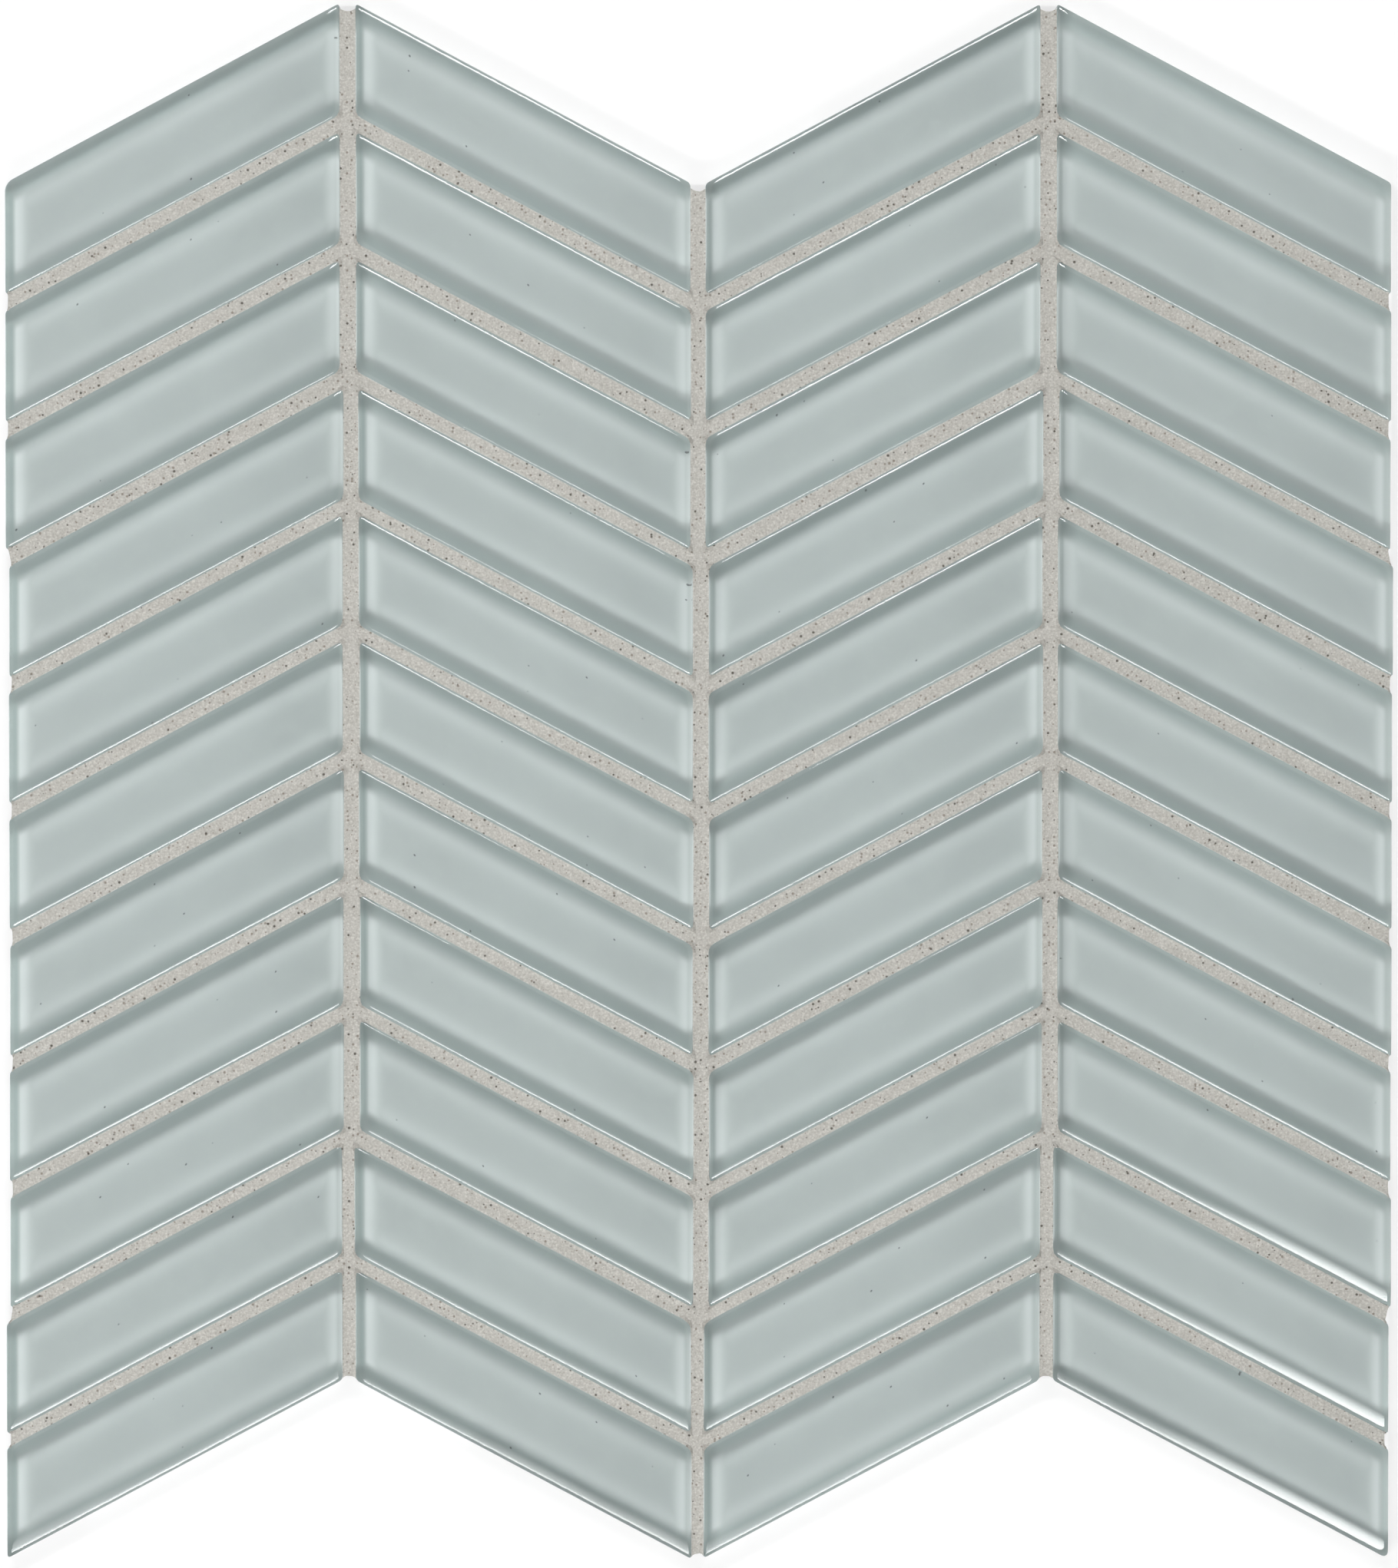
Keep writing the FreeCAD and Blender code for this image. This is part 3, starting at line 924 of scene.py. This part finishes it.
def pour_column(column):
    lines, line_kinds = grid_lines(column_stretches(column))
    points = {}
    for i, x in enumerate(lines):
        for j, level in enumerate(levels):
            if beside_joint(line_kinds, i) or beside_joint(level_kinds, j):
                points[i, j] = lay_point(column, x, level)
    first = line_kinds.index("chip") + 1
    last = len(line_kinds) - 1 - line_kinds[::-1].index("chip")
    for i, line_kind in enumerate(line_kinds):
        for j, level_kind in enumerate(level_kinds):
            if "joint" in (line_kind, level_kind):
                corners = ((i, j), (i, j + 1), (i + 1, j + 1), (i + 1, j))
                top_faces.append(tuple(points[corner] for corner in corners))
                if not first <= i < last:
                    flat_faces.append(top_faces[-1])
    for strip in level_strips():
        flat_faces.extend(wall_to_wall(points, first, last, strip))


for column in range(COLUMNS):
    pour_column(column)
print("grout face", len(grout_points), "points", len(top_faces), "cells")

# %% [markdown]
# The open border of the top goes down into the joint: first past the rounded rim to the straight
# wall of the chip, then to the mesh behind. Flat faces close it underneath. A slanted joint has no
# relief there, so one face reaches from wall to wall, with a fan of triangles near the chip's ends.

# %% Close the grout below
RIM_DROP = ARRIS_RADIUS + RIM_DEPTH + SIDE_DEPTH
SHOULDER_MARGIN = 0.05 * MM
SHOULDER = CHIP_FACE - RIM_DROP - SHOULDER_MARGIN
SHOULDER_STEP = 0.1 * MM


def border_edges(faces):
    used = {}
    for face in faces:
        for start, end in zip(face, face[1:] + face[:1]):
            used[start, end] = True
    return [edge for edge in used if (edge[1], edge[0]) not in used]


def close_below(points, faces, flat):
    border = border_edges(faces)
    shoulder = {}
    foot = {}
    for start, _ in border:
        x, y = wall_place[start]
        shoulder[start] = len(points)
        points.append((x, y, min(SHOULDER, points[start][2] - SHOULDER_STEP)))
        foot[start] = len(points)
        points.append((x, y, CHIP_BACK))
    walls = []
    for start, end in border:
        walls.append((end, start, shoulder[start], shoulder[end]))
        walls.append((shoulder[end], shoulder[start], foot[start], foot[end]))
    under = dict(foot)

    def laid_flat(corner):
        if corner not in under:
            under[corner] = len(points)
            points.append((points[corner][0], points[corner][1], CHIP_BACK))
        return under[corner]

    return walls + [tuple(laid_flat(corner) for corner in reversed(face)) for face in flat]


all_faces = top_faces + close_below(grout_points, top_faces, flat_faces)
grout_mesh = bpy.data.meshes.new("struck_grout")
grout_mesh.from_pydata(grout_points, [], all_faces)
grout_mesh.materials.append(grout_sand)
struck_grout = bpy.data.objects.new("struck_grout", grout_mesh)
bpy.context.scene.collection.objects.link(struck_grout)
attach(struck_grout, "root")
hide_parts("grout")
print("grout", len(grout_mesh.polygons), "faces")

# %% [markdown]
# Behind the chips is an open net of glass-fibre yarn. It is off-white, and its fibres are too fine
# to model one by one, so they are a streak of shade and a slight bump.

# %% Net yarn finish
YARN_COLOUR = (0.80, 0.80, 0.77, 1.0)
YARN_SHADE = (0.60, 0.60, 0.57, 1.0)
YARN_GRAIN = (1500.0, 2.0, 0.4)
YARN_RANGE = (0.4, 0.65)
YARN_BUMP = 0.1 * MM
YARN_BUMP_STRENGTH = 0.4


def yarn_finish():
    material, tree, shader = finish("net_yarn")
    place = place_node(tree, "ShaderNodeTexCoord").outputs["Object"]
    fibres = grain(tree, place, *YARN_GRAIN)
    colour = blend(tree, fade(tree, fibres, *YARN_RANGE), YARN_COLOUR, YARN_SHADE)
    tree.links.new(colour, shader.inputs["Base Color"])
    shader.inputs["Roughness"].default_value = 0.6
    bumped(tree, shader, fibres, YARN_BUMP_STRENGTH, YARN_BUMP)
    return material


net_yarn = yarn_finish()
print("yarn", YARN_COLOUR[:3])

# %% [markdown]
# Real strands pass over and under each other. One wave gives that for both directions: along any
# strand the height follows a cosine of the place across the sheet, and the strands that run the
# other way take the opposite sign. So one tree draws both layers along the lines it is given.

# %% The rule of a net strand
STRAND_INPUTS = [
    ("Lines", "shape"), ("Step", "number"), ("Pitch", "number"), ("Swing", "number"),
    ("Width", "number"), ("Thickness", "number"), ("Middle height", "number"), ("Yarn", "material"),
]


def strand_rule():
    tree, given, result = shape_tree("net strand", STRAND_INPUTS)
    runs = place_node(tree, "GeometryNodeMeshToCurve", {"Mesh": given["Lines"]}).outputs[0]
    runs = place_node(
        tree, "GeometryNodeResampleCurve", {"Curve": runs, "Length": given["Step"]},
        mode="LENGTH").outputs[0]
    x, y, _ = split(tree, tree.nodes.new("GeometryNodeInputPosition").outputs[0])
    phase = times(tree, maths(tree, "DIVIDE", add_up(tree, x, y), given["Pitch"]), math.pi)
    wave = times(tree, maths(tree, "COSINE", phase), given["Swing"])
    runs = place_node(tree, "GeometryNodeSetPosition", {
        "Geometry": runs,
        "Position": joined(tree, x, y, add_up(tree, given["Middle height"], wave))}).outputs[0]
    section = place_node(tree, "GeometryNodeCurvePrimitiveQuadrilateral", {
        "Width": given["Width"], "Height": given["Thickness"]}).outputs[0]
    yarn = place_node(tree, "GeometryNodeCurveToMesh", {
        "Curve": runs, "Profile Curve": section, "Fill Caps": True}).outputs[0]
    yarn = place_node(tree, "GeometryNodeRealizeInstances", {"Geometry": yarn}).outputs[0]
    yarn = place_node(tree, "GeometryNodeSetMaterial", {
        "Geometry": yarn, "Material": given["Yarn"]}).outputs[0]
    tree.links.new(yarn, result)
    return tree


net_strand = strand_rule()
print("the strand's rule has", len(net_strand.nodes), "nodes")

# %% [markdown]
# The net was cut along the zigzag a little inside the sheet. For each strand the script asks where
# its line lies within that outline. Strands across the sheet can be cut in two by a notch.

# %% Weave the net
STRAND_PITCH = 5.0 * MM
STRAND_WIDTH = 0.7 * MM
STRAND_THICKNESS = 0.2 * MM
NET_MARGIN = 3.0 * MM
NET_STEP = STRAND_PITCH / 4
TRACK_STEP = 0.25 * MM
SHEET_HALF_WIDTH = (COLUMNS * COLUMN_PITCH - UPRIGHT_JOINT) / 2
SHEET_EDGE = row_middle(0) + HALF_EDGE


def zigzag(x):
    column = min(max(int((x + COLUMNS * COLUMN_PITCH / 2) / COLUMN_PITCH), 0), COLUMNS - 1)
    return rises(column) * CLIMB * (x - column_middle(column))


def inside(x, y):
    reach = SHEET_EDGE - NET_MARGIN / SQUASH
    return abs(x) <= SHEET_HALF_WIDTH - NET_MARGIN and abs(y - zigzag(x)) <= reach


def runs_within(points):
    runs = []
    run = []
    for point in points:
        if inside(*point):
            run.append(point)
        elif len(run) > 1:
            runs.append((run[0], run[-1]))
            run = []
        else:
            run = []
    if len(run) > 1:
        runs.append((run[0], run[-1]))
    return runs


def strand_lines(count, reach, along_y):
    ends = []
    edges = []
    steps = np.arange(-reach, reach, TRACK_STEP)
    for number in range(count):
        across = (number - (count - 1) / 2) * STRAND_PITCH
        track = [(across, step) if along_y else (step, across) for step in steps]
        for start, end in runs_within(track):
            edges.append((len(ends), len(ends) + 1))
            ends += [(*start, 0.0), (*end, 0.0)]
    lines = bpy.data.meshes.new("strand_lines")
    lines.from_pydata(ends, edges, [])
    return lines


def strand_count(node, axis):
    low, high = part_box(node)
    return round((high[axis] - low[axis] - STRAND_WIDTH) / STRAND_PITCH) + 1


for node, axis, swing in (("backing_mesh_warp", 0, 1), ("backing_mesh_weft", 1, -1)):
    lines = strand_lines(strand_count(node, axis), cad_box[1][1] + STRAND_PITCH, axis == 0)
    net = made_by(net_strand, "net_" + node.split("_")[-1], {
        "Step": NET_STEP, "Pitch": STRAND_PITCH, "Swing": swing * STRAND_THICKNESS / 2,
        "Width": STRAND_WIDTH, "Thickness": STRAND_THICKNESS,
        "Middle height": CHIP_BACK / 2, "Yarn": net_yarn}, lines)
    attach(net, "root")
    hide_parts(node)
    print(net.name, len(net.data.polygons), "faces")

# %% [markdown]
# The floor is a plain pale sheet. To the eye, and to what glass and gloss show of it, it gives a
# little light of its own, so it comes out white and still keeps the shadow of the sheet.

# %% Floor
FLOOR_HALF = 3.0
FLOOR_PAINT = (0.30, 0.30, 0.30, 1.0)
FLOOR_GLOW = 0.74
FLOOR_DROP = 0.02 * MM


def seen_rays(tree):
    ray = tree.nodes.new("ShaderNodeLightPath").outputs
    seen = maths(tree, "MAXIMUM", ray["Is Camera Ray"], ray["Is Glossy Ray"])
    return maths(tree, "MAXIMUM", seen, ray["Is Transmission Ray"])


floor_paint, floor_tree, floor_shader = finish("floor_paint")
floor_shader.inputs["Base Color"].default_value = FLOOR_PAINT
floor_shader.inputs["Roughness"].default_value = 0.9
floor_shader.inputs["Specular IOR Level"].default_value = 0.0
floor_shader.inputs["Emission Color"].default_value = (1.0, 1.0, 1.0, 1.0)
floor_tree.links.new(
    times(floor_tree, seen_rays(floor_tree), FLOOR_GLOW), floor_shader.inputs["Emission Strength"])
floor_mesh = bpy.data.meshes.new("floor")
floor_mesh.from_pydata(
    [(-FLOOR_HALF, -FLOOR_HALF, -FLOOR_DROP), (FLOOR_HALF, -FLOOR_HALF, -FLOOR_DROP),
     (FLOOR_HALF, FLOOR_HALF, -FLOOR_DROP), (-FLOOR_HALF, FLOOR_HALF, -FLOOR_DROP)],
    [], [(0, 1, 2, 3)])
floor_mesh.materials.append(floor_paint)
floor = bpy.data.objects.new("floor", floor_mesh)
bpy.context.scene.collection.objects.link(floor)
print("floor", 2 * FLOOR_HALF, "m wide")

# %% [markdown]
# Two soft boxes light the sheet from its upper and lower side, so each slanted rim is lit by one
# of them and shaded from the other. They stand a little to the left, which dims the right column
# and shades the left end of every chip. Each is brighter towards its lower edge, as a soft box with
# its bulb set low is. Their light through the glass is already counted on the coat, and leaving
# them out of bent rays keeps the picture clean.

# %% Lamps
LAMP_DISTANCE = 1.2
LAMP_LEFT = 0.14
LAMP_FADE = (0.0, 1.0, 2.0, 0.0)
SOFT_BOX_SIZE = (0.78, 0.24)
LAMPS = (("upper_soft_box", 90.0, 64.0, 8.0), ("lower_soft_box", -90.0, 61.0, 8.0))


def soft_box(name, shape, size, power):
    light = bpy.data.lights.new(name, "AREA")
    light.shape = shape
    light.size, light.size_y = size
    light.energy = power
    light.use_nodes = True
    tree = light.node_tree
    upward = split(tree, place_node(tree, "ShaderNodeNewGeometry").outputs["Parametric"])[1]
    tree.links.new(fade(tree, upward, *LAMP_FADE), tree.nodes["Emission"].inputs["Strength"])
    lamp = bpy.data.objects.new(name, light)
    bpy.context.scene.collection.objects.link(lamp)
    lamp.visible_transmission = False
    return lamp


def hang(lamp, bearing, elevation, right):
    flat = LAMP_DISTANCE * math.cos(math.radians(elevation))
    lamp.location = (
        flat * math.cos(math.radians(bearing)) + right, flat * math.sin(math.radians(bearing)),
        LAMP_DISTANCE * math.sin(math.radians(elevation)))
    lamp.rotation_euler = (-lamp.location).to_track_quat("-Z", "Y").to_euler()


for name, bearing, elevation, power in LAMPS:
    lamp = soft_box(name, "RECTANGLE", SOFT_BOX_SIZE, power)
    hang(lamp, bearing, elevation, -LAMP_LEFT)
    lamp.visible_glossy = False
print("lamps", [name for name, *_ in LAMPS])

# %% [markdown]
# What shines on the rims in the photograph are white things beside the camera, two above the sheet
# and one below it. Three oval cards stand in for them. The soft boxes are left out of reflections,
# and the cards light nothing but gloss, so the thin lines on the rims can be set by themselves.

# %% Cards that the rims mirror
CARDS = (
    ("upper_card", 90.0, 57.0, 0.09, (0.40, 0.30), 5.7),
    ("upper_left_card", 90.0, 57.0, -0.20, (0.22, 0.30), 3.1),
    ("lower_card", -90.0, 59.0, 0.0, (0.95, 0.40), 10.5),
)
for name, bearing, elevation, right, size, power in CARDS:
    card = soft_box(name, "ELLIPSE", size, power)
    hang(card, bearing, elevation, right)
    card.visible_diffuse = False
print("cards", [name for name, *_ in CARDS])

# %% [markdown]
# At the open rim of the sheet no grout shades the coat, yet real light that enters a chip's side
# bends and lands further in. A shadow ray can't bend. So a low screen stands along the rim, which
# nothing but shadow rays can meet: it stops them there and gives the sheet its shadow on the floor.

# %% Shadow screen around the rim
SCREEN_GAP = 0.1 * MM
SCREEN_TOP = CHIP_FACE - 1.0 * MM


def rim_corners():
    corners = []
    for column in range(COLUMNS):
        for side in (-1, 1):
            x = column_middle(column) + side * HALF_WIDTH
            corners.append((x, SHEET_EDGE + side * rises(column) * CLIMB * HALF_WIDTH + SCREEN_GAP))
    for column in reversed(range(COLUMNS)):
        for side in (1, -1):
            x = column_middle(column) + side * HALF_WIDTH
            corners.append((x, -SHEET_EDGE + side * rises(column) * CLIMB * HALF_WIDTH - SCREEN_GAP))
    return corners


def rim_screen():
    corners = rim_corners()
    count = len(corners)
    reach = max(abs(x) for x, _ in corners)
    spread = (reach + SETTING_SHIFT + ROW_LOTS[1][1] + SCREEN_GAP) / reach
    points = [(x * spread, y, z) for z in (0.0, SCREEN_TOP) for x, y in corners]
    faces = [(i, (i + 1) % count, (i + 1) % count + count, i + count) for i in range(count)]
    mesh = bpy.data.meshes.new("rim_screen")
    mesh.from_pydata(points, [], faces)
    screen = bpy.data.objects.new("rim_screen", mesh)
    bpy.context.scene.collection.objects.link(screen)
    for ray_kind in ("camera", "diffuse", "glossy", "transmission"):
        setattr(screen, "visible_" + ray_kind, False)
    return screen


rim_screen()
print("screen", SCREEN_TOP / MM, "mm high")

# %% [markdown]
# The studio around the sheet is white cloth with an opening overhead for the camera. Only
# reflections and the camera see the cloth at full strength, and its own light on the sheet is
# weak, because the lamps already carry it.

# %% Surroundings
SURROUND = 0.06
OPENING_INNER = math.cos(math.radians(12.0))
OPENING_OUTER = math.cos(math.radians(30.0))


def studio():
    world = bpy.data.worlds.new("studio")
    world.use_nodes = True
    tree = world.node_tree
    background = tree.nodes["Background"]
    background.inputs["Color"].default_value = (1.0, 1.0, 1.0, 1.0)
    upward = split(tree, place_node(tree, "ShaderNodeTexCoord").outputs["Generated"])[2]
    cloth = fade(tree, upward, OPENING_OUTER, OPENING_INNER, 1.0, 0.0)
    ray = tree.nodes.new("ShaderNodeLightPath").outputs
    bounced = less(tree, ray["Is Glossy Ray"], ray["Is Transmission Ray"])
    reflected = times(tree, cloth, bounced)
    seen = maths(tree, "MAXIMUM", ray["Is Camera Ray"], reflected)
    strength = maths(tree, "MAXIMUM", seen, SURROUND)
    tree.links.new(strength, background.inputs["Strength"])
    world.cycles.sampling_method = "NONE"
    bpy.context.scene.world = world


studio()
print("opening overhead", OPENING_INNER, OPENING_OUTER)

# %% [markdown]
# The camera looks almost straight down, from a little above the middle of the sheet, so that the
# far rows come out slightly smaller, as in the photograph.

# %% Camera
PHOTO_SCALE = 5.975
PHOTO_WIDTH = 1820
VIEW_DISTANCE = 1.5
VIEW_TILT = math.radians(1.8)
AIM = Vector((0.0, -0.1 * MM, CHIP_FACE))

camera_data = bpy.data.cameras.new("camera")
camera = bpy.data.objects.new("camera", camera_data)
bpy.context.scene.collection.objects.link(camera)
camera.location = AIM + VIEW_DISTANCE * Vector((0.0, math.sin(VIEW_TILT), math.cos(VIEW_TILT)))
camera.rotation_euler = (-VIEW_TILT, 0.0, 0.0)
camera_data.sensor_fit = "HORIZONTAL"
camera_data.angle = 2 * math.atan(PHOTO_WIDTH / PHOTO_SCALE * MM / 2 / VIEW_DISTANCE)
bpy.context.scene.camera = camera
bpy.context.scene.view_settings.view_transform = "Standard"
print("camera", [round(value, 3) for value in camera.location])
